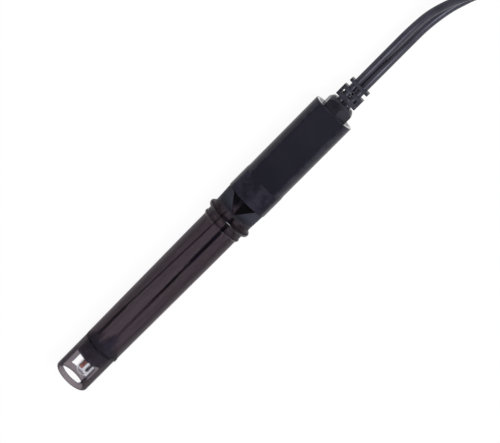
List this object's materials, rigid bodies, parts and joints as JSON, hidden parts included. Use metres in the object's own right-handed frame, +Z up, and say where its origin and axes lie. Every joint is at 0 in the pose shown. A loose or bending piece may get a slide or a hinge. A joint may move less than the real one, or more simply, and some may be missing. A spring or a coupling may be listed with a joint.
{
  "type": "water quality probe",
  "caption": "Smoke-bodied combination pH and temperature electrode with a windowed tip guard, ringed stem, flat-faced black head, strain relief and two put-away cords with plugs.",
  "frame": {"origin": "on the bench, under the middle of the probe from the guard's open end to the strain relief's end, on the probe's axis line", "axes": "+X along the probe's axis from the sensing tip to the cords; +Z up from the bench, the way the nameplate faces; +Y completes a right-handed set"},
  "size_m": [0.3544, 0.0279, 0.0332],
  "materials": {
    "smoke_plastic": "smoke-tinted clear polymer, polished",
    "guard_plastic": "smoke-tinted clear polymer, polished",
    "head_plastic": "black moulded polymer, satin",
    "plug_plastic": "grey moulded polymer",
    "black_plastic": "black moulded polymer",
    "plate": "bare black label plate",
    "bulb_glass": "thin clear pH glass",
    "element": "red-brown coated element",
    "thermistor": "dark sheath",
    "ceramic": "porous white ceramic",
    "coated_silver": "silver chloride coat",
    "silver": "tarnished wire",
    "wire_jacket": "black wire jacket",
    "solder": "dull solder",
    "splice_grey": "grey shrink sleeve",
    "seal_rubber": "black elastomer",
    "relief_rubber": "black moulded elastomer",
    "cord_pvc": "flexible black jacket, semi-gloss",
    "tie": "woven hook-and-loop strap",
    "board": "green circuit board",
    "gold": "gold plate",
    "nickel": "nickel plate",
    "white_plastic": "white insulator",
    "gasket": "red silicone"
  },
  "bodies": {
    "probe": {"sensor_plug": "plug_plastic", "plug_o_ring": "seal_rubber", "glass_bulb": "bulb_glass", "tube_bung": "black_plastic", "inner_element": "element", "thermistor": "thermistor", "reference_junction": "ceramic", "reference_rod": "coated_silver", "reference_wire": "silver", "wire_sleeve": "wire_jacket", "inner_lead": "wire_jacket", "splice_joint": "solder", "splice_sleeve": "splice_grey", "inner_cable": "wire_jacket", "cable_ferrule": "black_plastic", "stem_tube": "smoke_plastic", "neck_bung": "seal_rubber", "head_shell": "head_plastic", "nameplate": "plate", "terminal_board": "board", "terminal_posts": "gold", "end_cap": "head_plastic", "cable_gland": "head_plastic", "strain_relief": "relief_rubber", "cord_tails": "cord_pvc", "ph_cord": "cord_pvc", "ph_hank": "cord_pvc", "ph_cord_end": "cord_pvc", "temp_cord": "cord_pvc", "temp_hank": "cord_pvc", "temp_cord_end": "cord_pvc", "hank_tie": "tie", "bnc_boot": "relief_rubber", "bnc_body": "nickel", "bnc_insulator": "white_plastic", "bnc_pin": "gold", "bnc_gasket": "gasket", "phono_grip": "relief_rubber", "phono_ring": "nickel", "phono_insulator": "white_plastic", "phono_pin": "nickel"},
    "tip_guard": {"tip_guard": "guard_plastic"},
    "bnc_sleeve": {"bnc_sleeve": "nickel"}
  },
  "joints": [
    {"name": "guard_pull", "type": "slide", "parent": "probe", "child": "tip_guard", "axis": [-1, 0, 0], "range_m": [0, 0.03]},
    {"name": "bnc_turn", "type": "hinge", "parent": "probe", "child": "bnc_sleeve", "pos_m": [0.26, -0.0024, 0.00755], "axis": [1, 0, 0], "continuous": true}
  ]
}
